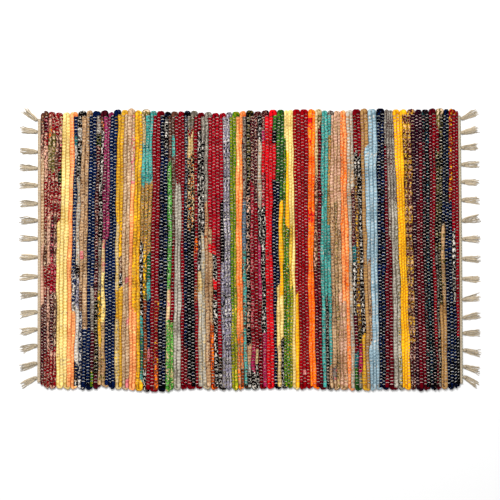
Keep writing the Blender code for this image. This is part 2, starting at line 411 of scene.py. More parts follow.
# cloth, ground, motif and its share in percent, accent and its share
CLOTH_TABLE = """
apricot apricot butter 15 tan 5
bark brown beige 40 maroon 20
beige beige tan 50 brown 20
beige_pink beige pink 40 olive 20
black black navy 10 grey 0
black_green black olive 25 leaf 12
blue_floral lilac black 52 white 40
blush blush cream 20 tan 5
brown brown tan 20 black 10
brown_mustard brown mustard 40 black 20
brown_pink brown blush 62 pink 20
brown_salmon brown blush 40 olive 20
burnt rust orange 38 red 15
butter butter cream 20 straw 10
camel camel tan 20 beige 10
claret maroon black 36 blush 30
cream cream straw 30 brown 25
cream_olive cream olive 30 white 10
cream_pink cream pink 35 tan 10
cream_print grey black 30 cream 25
cream_yellow butter grey 30 leaf 15
crimson crimson maroon 12 red 8
damask maroon mustard 42 blush 32
damson maroon crimson 48 black 32
dark_green pine leaf 30 olive 10
dark_print black blush 35 maroon 20
dark_teal pine teal 40 black 20
dusk grey maroon 40 black 30
ember crimson gold 22 orange 10
fern olive beige 45 brown 10
flame red orange 45 crimson 10
flecked crimson blush 34 brown 15
flint stone tan 40 grey 20
garnet crimson black 45 maroon 10
gold mustard gold 20 butter 5
gold_black gold black 40 mustard 20
golden gold straw 20 mustard 8
green leaf lime 45 pine 30
green_print spring cream 42 pine 40
green_teal teal leaf 40 turquoise 10
grey grey stone 45 white 15
grey_black black grey 42 white 8
grey_brown brown grey 30 black 15
grey_green black slate 38 white 12
grey_olive stone olive 42 black 15
grey_pink brown blush 45 crimson 15
grey_teal slate teal 35 white 10
heath grey maroon 42 stone 38
ink black navy 45 slate 6
iris lilac black 50 white 30
lagoon turquoise teal 30 stone 25
light_grey stone tan 40 grey 35
lime lime leaf 45 pine 30
lime_olive lime pine 35 straw 30
lime_print spring pine 42 white 25
linen stone cream 35 grey 15
magenta magenta pink 20 crimson 20
magenta_print magenta black 35 pink 10
magpie black white 34 maroon 15
maroon maroon plum 25 black 20
mauve_grey grey lilac 50 black 30
melon apricot butter 30 cream 10
moss black olive 35 beige 15
mustard mustard gold 25 brown 8
navy navy black 25 slate 3
navy_print navy slate 30 white 12
navy_teal black teal 25 navy 30
navy_white navy white 42 slate 10
oat stone grey 30 white 10
ochre tan orange 40 brown 30
old_gold mustard gold 40 olive 15
olive leaf pine 42 mustard 30
olive_grey grey olive 35 stone 20
olive_yellow olive gold 45 straw 10
orange orange apricot 25 gold 10
orange_brown brown orange 35 butter 15
orange_print crimson orange 30 straw 15
orange_tan rust orange 40 tan 15
orchid orchid plum 38 pink 10
pale_beige blush brown 35 beige 20
pale_green turquoise brown 50 stone 20
peach apricot orange 35 rust 12
pepper black white 38 brown 15
pink pink blush 25 white 5
pink_maroon pink maroon 45 crimson 10
pink_print maroon pink 30 black 25
pink_tan blush tan 50 olive 20
plum plum maroon 30 black 15
posy black cream 40 orange 22
purple_pink grey pink 30 purple 20
red red crimson 20 pink 4
rose crimson pink 30 magenta 20
ruby ruby crimson 20 maroon 5
rust rust black 30 brown 20
salmon tan rust 35 blush 20
salt grey white 50 sky 10
scarlet cherry crimson 30 red 8
sky sky white 15 slate 8
soot black brown 35 tan 10
straw straw mustard 40 brown 20
tan tan brown 30 beige 35
tan_olive tan olive 40 straw 10
tan_print camel olive 42 gold 25
teal teal turquoise 20 pine 10
teal_black black maroon 42 teal 28
white white grey 15 cream 10
wine wine maroon 30 crimson 10
yellow_lime lime straw 30 leaf 30
"""

DYES = {name: dye(*map(float, parts)) for name, *parts in map(str.split, DYE_TABLE.strip().splitlines())}
CLOTHS = {}
for line in CLOTH_TABLE.strip().splitlines():
    cloth, ground, motif, motif_share, accent, accent_share = line.split()
    CLOTHS[cloth] = (
        (*DYES[ground], 1.0),
        (*DYES[motif], float(motif_share) / 100),
        (*DYES[accent], float(accent_share) / 100),
    )
print(len(DYES), "dyes in", len(CLOTHS), "cloths")

# %% [markdown]
# ## The weaver's chart
#
# One line is one pick, from the left end of the rug to the right, and a line that
# ends in a comma goes on below. It names the rags in the order in which they were
# laid in from the far edge, and the number after a rag is how many centimetres
# from that edge the next one is joined on. It is a chart that a weaver could
# follow, and nothing on it is regular, because the rags are laid in as they come
# out of the basket.

# %% Write the chart
CHART = """
brown 2.5, grey_pink 9, beige 27.8, blush 40.7, claret 57.5, flecked
pink_print 3.9, flecked 6.4, brown_pink 14, flecked 24.6, bark 33, flecked 39, claret 51.4,
flecked
flecked 1.3, brown_pink 3.4, ochre 5.6, fern 12.5, flecked 22, pale_beige 33, flecked 38,
brown_pink 51, flecked
flecked 4.7, fern 13.5, flecked 23, pink_print 31, rose 39, claret 52, flecked
flecked 4.3, grey_pink 14.5, flecked 21.5, grey_pink 32.1, rose 38, bark 50, flecked
flecked 3, brown_pink 6.4, pink_print 9.6, flecked 12.4, black_green 15.6, flecked 23.5, butter
butter
butter
apricot
navy 5.4, teal 7.5, salt 10.3, navy_print 33.8, navy_white 41.3, salt 43, apricot
magpie 2.8, salt 4.9, magpie 13.9, light_grey 32.1, soot 34.7, iris 41.3, white 53.1, navy 56.1,
magpie
tan 30, pink 31.7, tan 38.5, brown 43, navy_white
tan 46.7, navy
navy
navy 37.5, heath 47.1, maroon 55.6, olive
heath 4.3, black_green 6.8, claret 40, moss 55.6, maroon
maroon 1.3, orange_brown 3.6, magpie 27.4, cream_print 38.5, olive_yellow 44.9, mustard 50.3,
tan_olive
orchid 27.4, cream_pink 34.2, cream_yellow 44.9, tan_olive
orchid 27.4, navy
navy
navy
mustard 24, cream 38.3, mustard 44.5, cream
mustard 24, gold_black 31.5, bark 35.3, magpie 38.3, mustard 44.5, gold
beige
beige 35.5, pink 36.8, beige 44.5, pink 46, beige 57.4, pink
beige_pink 15.6, apricot
old_gold 42.8, apricot
old_gold
fern 1.3, cream_olive 6.4, lagoon 15.6, tan_print 27.4, magpie 43.4, lagoon 47.5, green_teal 55.6,
lagoon 57.4, golden
lagoon 15.6, tan_print 31, olive_yellow 40.7, rust 55.6, pepper
lagoon 15.6, tan_print 31, dark_teal 36.8, lagoon 40.7, navy 51.4, pink_maroon 53.9, crimson
crimson
crimson 40.7, ember 54.6, orange_tan
ink
ink 1.7, magpie 8.6, ink
grey_brown 10.7, lime_print 38.3, cream_pink 44.9, green_print
grey_brown 4.9, pale_green 9.6, grey_brown 26.8, garnet 44.9, green_print
crimson 15.4, oat
crimson 15.4, oat
crimson
grey_green 20.3, ink 50.3, garnet
olive_grey 3.6, crimson 4.7, cream 9, posy 24.6, black 57, crimson
olive_grey 3.6, crimson 4.7, cream 9, posy 24.6, black
crimson 26.8, orange_print 31.5, crimson 37.5, rust 40.7, crimson
crimson 3.9, pepper 20, magpie 34.2, cream 38.5, linen
grey 6, magpie 26, linen
grey 19.3, salmon 30, tan
scarlet 24.6, tan 27.8, red 29.7, tan 44.9, burnt
scarlet 27.8, red 29.7, magpie 35.3, red 37.2, black 38.5, crimson 39.4, magpie
scarlet 26, crimson 51.8, soot 55, magpie
scarlet 19.3, black 32.5, iris 49.2, mauve_grey
blue_floral
blue_floral
lime 27.8, green 41.7, lime_olive
lime 27.8, yellow_lime
melon 12, peach 47.1, ochre
peach 47.1, ochre 55, rust
dusk 19.3, grey_teal 30, pale_green
moss 15, dark_print 50.3, salmon 54.1, salt 56.1, magpie
claret 15, rose 50.3, magenta 55.2, magpie
claret 20, crimson 51.4, cream_olive 54.6, pepper
magpie 6, light_grey 20.3, magpie 27.8, magenta 40, garnet
claret 3.6, magenta 6, red 12.8, rose 20, magpie 47.1, magenta
red
red
dark_green 3.9, black 6.8, red 14.6, ink
dark_green 15, ink 37.5, butter 50.3, cream
dark_green 19.3, golden 39.6, butter 48.8, magpie
butter 5.4, olive
butter 8.6, golden 24.6, olive
butter 24.6, straw 37.9, lime_olive
butter
ruby 39.2, golden
ruby
ruby 56.1, pink 57.1, ruby
ruby
orange 2.1, flame 4.3, orange 6.4, flame 7.9, orange 21.4, flame 24.6, orange
orange 21.4, flame 24.6, orange
cream_olive 13.9, brown_salmon 34.2, damson
fern 3.6, damson
lagoon
lagoon 39.6, grey_black
dusk 1, lagoon 5.4, tan_print 24.6, lagoon 54.6, tan
pink_tan 20, tan 55, purple_pink 57.8, tan
pink_tan 20, tan_olive
pink_tan 25, tan 38.5, pink_tan
peach 40.7, pink_tan
peach
flint
flint 16.7, claret 28.9, teal 32.5, magpie 43.9, maroon 47.1, damson 51.8, teal 55, dark_green
crimson 9, magpie 14.6, brown_mustard 47.1, moss 50.3, magenta_print 56.7, olive_grey
crimson 9.6, magpie 48.2, mustard
camel
camel 8.1, sky 32.5, tan 50.3, sky
sky
sky
ink
ink
heath 7.5, wine
heath 26.8, wine
heath 19.3, oat
heath 19.3, grey_olive
golden
golden
golden
damask 49.2, claret
damask 49.2, claret
plum
plum 19.3, wine
plum 6.4, wine
teal_black
navy_teal
wine 31.7, black
crimson 50.3, damson
fern 3.6, crimson 8.6, moss 30, grey_black
moss 41.7, camel
ink 24.6, tan_olive 40.7, camel
ink
ember 19.3, ink
crimson 25.3, pepper 40.7, ink
crimson 48.6, black
"""
PAST_THE_EDGE = 9.0


def read_chart(chart):
    """The chart as a list of picks, each a list of rags and the metres at which they end."""
    picks = []
    for line in chart.replace(",\n", ", ").strip().splitlines():
        rags = [rag.split() for rag in line.split(",")]
        picks.append([(rag[0], float(rag[1]) / 100 if len(rag) > 1 else PAST_THE_EDGE) for rag in rags])
    return picks


picks = read_chart(CHART)
print(len(picks), "picks with", sum(len(rags) for rags in picks), "rags")
assert len(picks) == RAG_PICKS

# %% [markdown]
# ## Lay in the rags
#
# Each pick runs straight across, then turns round the last warp into its
# neighbour: with the one on its left at one long edge, and the one on its right
# at the other. These turns are the row of knobs along both edges. A warp thread
# that passes over a rag presses a dent into it.

# %% Shape the rag picks
BARE_FAR = 10.5 * MM
BARE_NEAR = 12.5 * MM
TURN_SAMPLES = 5
TURN_DEPTH = 6.2 * MM
TURN_WIDTH = 0.55
TURN_DENT = 0.35
KNOB_REACH = (-3.4 * MM, 0.2 * MM)
KNOB_OVERLAP = 0.3 * MM
RAG_AROUND = 10
RAG_SQUARENESS = 0.8
RAG_PRESS = 1.02
RAG_HALF_WIDTHS = (2.2 * MM, 5.5 * MM)
RAG_BOTTOM = 0.3 * MM
RAG_TOP = 6.1 * MM
RAG_DENT = 1.3 * MM
RAG_LUMPS = np.array((0.13, 0.039, 0.13)) * MM
RAG_THICKNESS_CHANCE = 0.22 * MM
RAG_THICKNESS_MOST = 0.15 * MM
FLOOR_GAP = 0.1 * MM

pick_number = np.arange(1, RAG_PICKS + 1, dtype=float)[:, None]
middles = rag_side(pick_number - 0.5, np.zeros((RAG_PICKS, 1)))
far_edge, near_edge = long_edges(middles)
run_length = far_edge - near_edge - BARE_FAR - BARE_NEAR
run_y = far_edge - BARE_FAR - run_length * np.linspace(0, 1, WARPS)
run_left = rag_side(np.broadcast_to(pick_number - 1, run_y.shape), run_y)
run_right = rag_side(np.broadcast_to(pick_number, run_y.shape), run_y)
run_x = (run_left + run_right) / 2
run_width = run_right - run_left


def turns(end_x, end_width, edge, outward, partner):
    """The bent ends of all picks at one long edge.

    Over a quarter turn the place across grows with the root of the sine, and the
    place along moves half a rib towards the partner with one less the cosine,
    raised to 1.4. Chance says how far out every two picks reach.
    """
    angle = np.linspace(0, np.pi / 2, TURN_SAMPLES + 1)[None, 1:]
    reach = chance.uniform(*KNOB_REACH, size=(RAG_PICKS // 2 + 2, 1))
    out = edge + outward * reach[np.arange(RAG_PICKS) // 2]
    y = out - outward * TURN_DEPTH * (1 - np.sin(angle) ** 0.5)
    x = end_x + partner[:, None] * (end_width / 2 + KNOB_OVERLAP) * (1 - np.cos(angle)) ** 1.4
    return x, y


odd = np.arange(RAG_PICKS) % 2 == 0
far_partner = np.where(odd, 1.0, -1.0)
near_partner = np.where(odd, -1.0, 1.0)
far_partner[-1] = 0.0
near_partner[0] = 0.0
far_x, far_y = turns(run_x[:, :1], run_width[:, :1], far_edge, 1.0, far_partner)
near_x, near_y = turns(run_x[:, -1:], run_width[:, -1:], near_edge, -1.0, near_partner)

rag_x = np.concatenate((far_x[:, ::-1], run_x, near_x), axis=1)
rag_y = np.concatenate((far_y[:, ::-1], run_y, near_y), axis=1)
samples = rag_x.shape[1]


def tapers():
    """How wide each rag is along its pick, as a share of its full width.

    It is 1 all along, and in a turn it falls in a straight line, because the
    strip is pulled tight there. The two ends with no partner close with the
    cosine of their way out.
    """
    full = np.ones((RAG_PICKS, samples))
    tight = np.linspace(1.0, TURN_WIDTH, TURN_SAMPLES)
    full[:, :TURN_SAMPLES] = tight[::-1]
    full[:, -TURN_SAMPLES:] = tight
    closing = np.cos(np.linspace(0.1, 0.95, TURN_SAMPLES) * np.pi / 2)
    full[-1, :TURN_SAMPLES] = closing[::-1]
    full[0, -TURN_SAMPLES:] = closing
    return full


def shape_rags():
    """Rings of all picks, with a dent wherever a warp passes over or under.

    Half the width is half the rib and a little, so that ribs press together.
    Smooth chance thickens and thins each rag. Upper points go down by the dent
    times the sine where a warp is over, and lower points go up where it is under.
    The shade is deep at a ring's sides and in the dents of its upper half.
    """
    turn = TURN_SAMPLES
    half_width = np.pad(run_width, ((0, 0), (turn, turn)), "edge") / 2
    half_width = np.clip(half_width * RAG_PRESS, *RAG_HALF_WIDTHS)
    half_height = (RAG_TOP - RAG_BOTTOM) / 2 + np.minimum(
        smooth_chance(RAG_PICKS, samples, 5) * RAG_THICKNESS_CHANCE, RAG_THICKNESS_MOST
    )
    full = tapers()
    path = np.stack((rag_x, rag_y, np.full(rag_x.shape, (RAG_TOP + RAG_BOTTOM) / 2)), -1)
    half_height = half_height * np.sqrt(full)
    rings = rings_round(path, half_width * full, half_height, RAG_AROUND, RAG_SQUARENESS)
    over = (np.arange(WARPS)[None, :] + np.arange(RAG_PICKS)[:, None]) % 2
    over = np.pad(over.astype(float), ((0, 0), (turn, turn)), constant_values=TURN_DENT)[..., None]
    sine = np.sin(ring_angles(RAG_AROUND))
    upper = np.maximum(sine, 0)
    lower = np.maximum(-sine, 0)
    rings[..., 2] += RAG_DENT * ((1 - over) * lower - over * upper)
    rings += chance.normal(size=rings.shape) * RAG_LUMPS
    rings[..., 2] = np.clip(rings[..., 2], FLOOR_GAP, None)
    shade = 0.9 * (1 - np.abs(sine) ** 1.2) + over * upper
    return rings, np.clip(shade, 0, 1)


rag_rings, rag_shade = shape_rags()
points = (rag_rings + SHIFT).reshape(-1, 3)
print("the rags reach from", points.min(axis=0).round(4), "to", points.max(axis=0).round(4))

# %% [markdown]
# ## Dye the rags
#
# The chart is read for every ring of every pick: how far the ring is from the
# far edge says which rag lies there. The ground, motif and accent colours are
# stored on the faces, and the material mixes them into a print.

# %% Spread the colours
JOIN_SLANT = 9.0 * MM
JOIN_STRAY = 5.0 * MM
FADE = 0.07
FADE_REACH = 12
UPPER_FACES = slice(3, 8)


def lay_colours():
    """Ground, motif and accent colours for each face of each pick, shares in the fourth place.

    A join is torn at a slant, so its place moves by the slant times the cosine
    of the way round the strip, and each pick's joins stray a little. The two
    picks of a turn are one strip, so the knob has one cloth, the left pick's.
    """
    slant = chance.uniform(-JOIN_SLANT, JOIN_SLANT, size=(RAG_PICKS, 1, 1))
    stray = chance.uniform(-JOIN_STRAY, JOIN_STRAY, size=(RAG_PICKS, 1, 1))
    from_far = (far_edge - rag_y)[..., None] + slant * np.cos(ring_angles(RAG_AROUND)) + stray
    from_far = np.clip(from_far, 0, PAST_THE_EDGE)
    layers = np.ones((3, RAG_PICKS, samples, RAG_AROUND, 4))
    for number, rags in enumerate(picks):
        which = np.searchsorted([end for _, end in rags], from_far[number])
        rows = np.array([CLOTHS[cloth] for cloth, _ in rags])
        layers[:, number] = np.moveaxis(rows[which], 2, 0)
    layers[:, 1:-1:2, :TURN_SAMPLES] = layers[:, 0:-2:2, :TURN_SAMPLES]
    layers[:, 2::2, -TURN_SAMPLES:] = layers[:, 1::2, -TURN_SAMPLES:]
    fade = 1 + smooth_chance(RAG_PICKS, samples, FADE_REACH)[..., None, None] * FADE
    layers[..., :3] = np.clip(layers[..., :3] * fade, 0, 1)
    return layers


colour_layers = lay_colours()
ground_light, motif_light, _ = colour_layers[..., :3]
motif_share = colour_layers[1, ..., 3:]
mean_light = ground_light * (1 - motif_share) + motif_light * motif_share
mean_light = mean_light[:, :, UPPER_FACES].mean(axis=2)
print("mean light of the rags", mean_light.mean(axis=(0, 1)).round(3))

# %% [markdown]
# ## Maths with sockets
#
# A material's colours come from small sums. Written as Python expressions they
# stay readable, so a small class wraps a node's output and takes Python's signs.
# A second one holds a material and adds any node with its settings and sockets.

# %% Write the material helpers
class Signal:
    """One output of a node, with Python's signs for its maths."""

    def __init__(self, finish, socket):
        self.finish = finish
        self.socket = socket

    def __add__(self, other):
        return self.finish.maths("ADD", self, other)

    def __rsub__(self, other):
        return self.finish.maths("SUBTRACT", other, self)

    def __mul__(self, other):
        return self.finish.maths("MULTIPLY", self, other)

    __radd__ = __add__
    __rmul__ = __mul__


class Finish:
    """A material that is put together node by node."""

    def __init__(self, name):
        self.material = bpy.data.materials.new(name)
        self.material.use_nodes = True
        self.tree = self.material.node_tree
        self.surface = self.tree.nodes["Principled BSDF"].inputs
        self.surface["Specular IOR Level"].default_value = 0.0

    def feed(self, entry, value):
        """Link a signal to an entry, or set the entry to a plain value."""
        if isinstance(value, Signal):
            self.tree.links.new(entry, value.socket)
        else:
            entry.default_value = value

    def node(self, kind, settings=(), sockets=(), output=0):
        """Add a node, set it, fill its sockets and return one of its outputs."""
        node = self.tree.nodes.new(kind)
        for key, value in dict(settings).items():
            setattr(node, key, value)
        for key, value in dict(sockets).items():
            self.feed(node.inputs[key], value)
        return Signal(self, node.outputs[output])

    def maths(self, operation, first, second=0.0):
        return self.node("ShaderNodeMath", {"operation": operation}, {0: first, 1: second})

    def mix(self, factor, first, second, blend="MIX"):
        """A colour between two: first where the factor is 0, the blend with second where it is 1."""
        settings = {"data_type": "RGBA", "blend_type": blend}
        return self.node("ShaderNodeMix", settings, {0: factor, 6: first, 7: second}, 2)

    def noise(self, vector, fineness, detail):
        """Soft noise, as fine along each part of the vector as the same part of fineness says."""
        stretch = {"operation": "MULTIPLY"}
        stretched = self.node("ShaderNodeVectorMath", stretch, {0: vector, 1: fineness})
        sockets = {"Vector": stretched, "Scale": 1.0, "Detail": detail}
        return self.node("ShaderNodeTexNoise", {}, sockets, "Fac")

    def step(self, value, low, high):
        """0 below low, 1 above high, and a smooth rise between."""
        sockets = {"Value": value, "From Min": low, "From Max": high}
        return self.node("ShaderNodeMapRange", {"interpolation_type": "SMOOTHSTEP"}, sockets)

    def layer(self, name, output="Color"):
        """What the mesh holds under a name: its colour, its vector, its number or its share."""
        return self.node("ShaderNodeAttribute", {"attribute_name": name}, {}, output)

    def cover(self, colour, roughness, height, strength, distance):
        """Give the surface its colour, its roughness and its bumps."""
        sockets = {"Strength": strength, "Distance": distance, "Height": height}
        self.feed(self.surface["Base Color"], colour)
        self.feed(self.surface["Roughness"], roughness)
        self.feed(self.surface["Normal"], self.node("ShaderNodeBump", {}, sockets))
        return self.material


print("helpers ready")

# %% [markdown]
# ## The rag cloth
#
# A rag is a torn strip, folded and squashed by the beater. Its print shows as
# flecks cut off by the folds, so the motif is a blotchy noise held against the
# cloth's share, stretched a little along the strip. Long folds darken it with
# painted shade, and worn patches lighten and darken it. The grooves between ribs
# and the warp dents carry painted shade: there the colour is multiplied by itself
# and mixed almost half with black. Under it all is the fine bump of plain cotton
# cloth.

# %% Make the rag finish
# each noise: how fine it is along a strip, round it and from strip to strip, and its detail
BLOTS = ((165.0, 280.0, 7.3), 1.5)
FLECKS = ((300.0, 420.0, 3.1), 1.0)
FOLDS = ((34.0, 520.0, 5.7), 3.0)
CLOTH_THREADS = ((1500.0, 1900.0, 1.0), 1.0)
PATCHES = ((24.0, 90.0, 4.9), 2.0)
PRINT_SOFTNESS = 0.05
# painted shade: the near-black that the grooves, dents and folds are darkened towards
PAINTED_GROOVE_SHADE = (0.004, 0.003, 0.004, 1.0)


def print_over(cloth, colour, noise, layer, bare, reach):
    """Lay a layer's colour where the noise is over a level, which sinks as its share grows."""
    level = bare - reach * cloth.layer(layer, "Alpha")
    return cloth.mix(cloth.step(noise, level, level + PRINT_SOFTNESS), colour, cloth.layer(layer))


def rag_finish():
    cloth = Finish("rag_cloth")
    place = cloth.layer("place", "Vector")
    blots, flecks, folds, threads, patches = (
        cloth.noise(place, *noise) for noise in (BLOTS, FLECKS, FOLDS, CLOTH_THREADS, PATCHES)
    )
    colour = print_over(cloth, cloth.layer("ground"), blots, "motif", 0.68, 0.36)
    colour = print_over(cloth, colour, flecks, "accent", 0.72, 0.40)
    # painted shade from the shade layer and the long folds, with slow patches of random tone
    shade_and_mottle = cloth.layer("shade", "Fac") * 0.72 + (0.60 - folds) * 1.3 + (0.5 - patches) * 0.9
    # painted shade in the grooves: the colour multiplied by itself and mixed almost half with near-black
    deep = cloth.mix(0.45, cloth.mix(1.0, colour, colour, "MULTIPLY"), PAINTED_GROOVE_SHADE)
    colour = cloth.mix(cloth.step(shade_and_mottle, 0.0, 1.0), colour, deep)
    return cloth.cover(colour, 0.84 + threads * 0.16, folds * 0.8 + threads * 0.25, 0.75, 1.1 * MM)


rag_cloth = rag_finish()
print("rag finish has", len(rag_cloth.node_tree.nodes), "nodes")

# %% [markdown]
# ## Weave the weft
#
# The picks are shared out in turn among three pieces, so that each piece spans
# the whole rug and stays light. Together they are the cloth that the packed
# weave stands for.

# %% Make the rag picks
RAG_SETS = ("first", "second", "third")
RAG_GIRTH = 24.0 * MM
rag_pieces = []
for number, label in enumerate(RAG_SETS):
    chosen = slice(number, None, len(RAG_SETS))
    colours = {name: layer[chosen] for name, layer in zip(("ground", "motif", "accent"), colour_layers)}
    rag_pieces.append(
        tube_piece(f"rags_{label}", rag_rings[chosen], rag_cloth, colours, rag_shade[chosen], RAG_GIRTH)
    )

# %% [markdown]
# ## The cotton
#
# The warp, the headings and the tassels are the same undyed cotton thread, two
# plies twisted. The thread has its own colour layer: the warp takes up some of
# the dye of the rags that it crosses, and the tassels are darker at the knots
# with painted shade. Painted shade from each piece's shade layer and from the
# grooves between the plies darkens the cotton towards a near-black brown, and
# uneven random tone does too.

# %% Make the cotton finish
PLIES = 2
FIBRES = ((900.0, 2600.0, 9.1), 2.0)
UNEVEN = ((60.0, 60.0, 5.3), 1.0)
# painted shade and random mottle: the near-black brown that the cotton is darkened towards
COTTON_SHADE_AND_MOTTLE = (0.07, 0.05, 0.035, 1.0)


def cotton_finish(name, twist):
    """Twisted cotton: the plies are a sine that climbs round the thread as it runs along."""
    cotton = Finish(name)
    place = cotton.layer("place", "Vector")
    along, around = (cotton.node("ShaderNodeSeparateXYZ", {}, {0: place}, part) for part in (0, 1))
    climb = along * (2 * np.pi / twist) + around * (2 * np.pi / THREAD_GIRTH * PLIES)
    plies = cotton.maths("SINE", climb) * 0.5 + 0.5
    fibres = cotton.noise(place, *FIBRES)
    # painted shade from the shade layer and the grooves between the plies, plus random unevenness of tone
    shade_and_mottle = cotton.layer("shade", "Fac") * 0.8 + (1 - plies) * 0.16
    shade_and_mottle = shade_and_mottle + (0.5 - cotton.noise(place, *UNEVEN)) * 0.5 + (0.5 - fibres) * 0.2
    colour = cotton.layer("dye")
    colour = cotton.mix(cotton.step(shade_and_mottle, 0.0, 1.0), colour, cotton.mix(0.72, colour, COTTON_SHADE_AND_MOTTLE))
    return cotton.cover(colour, 0.86 + fibres * 0.14, plies * 0.8 + fibres * 0.4, 0.6, 0.3 * MM)


warp_cotton = cotton_finish("cotton_thread", 3.5 * MM)
heading_cotton = cotton_finish("cotton_picks", 4.5 * MM)
print("cotton finishes ready")

# %% [markdown]
# ## Carry the warp over and under
#
# A warp thread goes over one rag and under the next, and its neighbour does the
# opposite. So the path of a thread is a rising and falling line: three points
# over a rag, where it bows a little, and two points under the next one. All the
# threads with the same start are made together, in a far and a near half.

# %% Shape the warp threads
WARP_AROUND = 4
WARP_SQUARENESS = 0.9
WARP_HALF_WIDTH = 0.35 * MM
WARP_HALF_HEIGHT = 0.35 * MM
WARP_LEVELS = (0.85 * MM, 5.55 * MM, 0.25 * MM)
WARP_BOW = 0.35 * MM
WARP_WAVER = 0.25 * MM
WARP_THICKNESS_CHANCE = 0.42
WARP_THICKNESSES = (0.35, 2.0)
WARP_SHADE_DEPTH = 3.0 * MM
OVER_POINTS = ((-0.68, 0.0), (-0.5, 1.0), (-0.32, 0.0))
UNDER_POINTS = ((-0.68, 0.0), (-0.32, 0.0))
CREAM = dye(250, 240, 222)
RAG_LIGHTS = (0.02, 0.12, 0.35)
WARP_TINTS = (0.18, 0.42, 0.96)
HUE_TAKEN_UP = 0.06


def over_and_under(count, over_first):
    """Pick places, height flags and bows of the points on one thread over count picks."""
    points = []
    for pick in range(1, count + 1):
        over = (pick % 2 == 1) == over_first
        for offset, bow in OVER_POINTS if over else UNDER_POINTS:
            points.append((pick + offset, float(over), bow))
    return np.array(points).T


def warp_paths(threads, count, over_first, side, edges, levels):
    """Paths of warp threads over count picks.

    A thread keeps its share of the way between the two edges. The levels are its
    height under a pick, its height over one, and how far it bows up in the middle
    of an over. There it also bows aside.
    """
    low, high, bow_height = levels
    place, over, bow = over_and_under(count, over_first)
    place = np.broadcast_to(place, (len(threads), len(place)))
    far, near = edges(side(place, np.zeros(place.shape)))
    y = far - (far - near) * threads[:, None]
    x = side(place, y)
    z = low + (high - low) * over + bow * bow_height
    y = y + WARP_BOW * (bow * 2 - 1) * over
    return np.stack((x, y, np.broadcast_to(z, x.shape)), -1)


def warp_lines(along):
    """The lines along which the outermost warps run, a bare edge inside the long edges."""
    far, near = long_edges(along)
    return far - BARE_FAR, near + BARE_NEAR


def tint_warp(paths):
    """Thread colours: cream, with part of the dye of the rag at the same place.

    A thread takes up little of a dark dye and most of a light one, so that it
    hardly shows on pale rags.
    """
    from_left = np.array([np.interp(x, middles[:, 0], np.arange(RAG_PICKS)) for x in paths[..., 0]])
    pick = np.clip(np.round(from_left).astype(int), 0, RAG_PICKS - 1)
    share = (far_edge[pick, 0] - BARE_FAR - paths[..., 1]) / run_length[pick, 0]
    ring = np.clip(np.round(share * (WARPS - 1)).astype(int), 0, WARPS - 1) + TURN_SAMPLES
    rag = mean_light[pick, ring]
    tint = np.interp(rag.mean(axis=-1, keepdims=True), RAG_LIGHTS, WARP_TINTS)
    hue = (rag / rag.max(axis=-1, keepdims=True)) ** HUE_TAKEN_UP
    return CREAM * hue * (1 - tint) + (rag * 1.3 + 0.03) * tint


# threads 1, 3, 5 and so on go over the second pick, and threads 2, 4, 6 over the first
warp_pieces = []
for first, label in enumerate(("over", "under")):
    threads = np.arange(first, WARPS, 2) / (WARPS - 1)
    for half, chosen in (("far", threads < 0.5), ("near", threads >= 0.5)):
        paths = warp_paths(threads[chosen], RAG_PICKS, first == 1, rag_side, warp_lines, WARP_LEVELS)
        shape = paths.shape[:2]
        paths[..., 1] += smooth_chance(*shape, 6) * WARP_WAVER
        thick = np.clip(1 + WARP_THICKNESS_CHANCE * smooth_chance(*shape, 3), *WARP_THICKNESSES)
        rings = rings_round(paths, WARP_HALF_WIDTH * thick, WARP_HALF_HEIGHT, WARP_AROUND, WARP_SQUARENESS)
        shade = np.clip((WARP_LEVELS[1] - rings[..., 2]) / WARP_SHADE_DEPTH, 0, 1) * 0.8
        piece = thread_piece(f"warp_{label}_{half}", rings, warp_cotton, tint_warp(paths), shade)
        warp_pieces.append(piece)

# %% [markdown]
# ## The headings
#
# Before the first rag and after the last one the weaver beats in a few picks of
# plain cotton. They lock the rags, and on the right end the last of them lies
# apart as a thin cord. They are the same over and under on a finer scale.

# %% Weave the headings
# each end: the rag side that it starts from, and the way out of the rug
ENDS = {"left": (0.0, -1.0), "right": (float(RAG_PICKS), 1.0)}
HEADING_WIDTHS = {"left": 6.2 * MM, "right": 5.4 * MM}
HEADING_DYES = {
    "left": (dye(176, 154, 124), dye(190, 168, 138), dye(190, 168, 138), dye(180, 156, 126)),
    "right": (dye(190, 172, 144), dye(184, 168, 140), dye(138, 132, 108)),
}
HEADING_AROUND = 8
HEADING_SQUARENESS = 0.85
HEADING_GAP = 0.3 * MM
HEADING_TOP_GAP = 0.2 * MM
HEADING_FLOOR_GAP = 0.25 * MM
HEADING_PRESS = 1.05
HEADING_DENT = 0.35 * MM
HEADING_ENDS = 0.6
HEADING_WARP_HALF = (0.72 * MM, 0.42 * MM)
HEADING_WARP_EDGE = 1.5 * MM
THREAD_LUMPS = 0.06 * MM


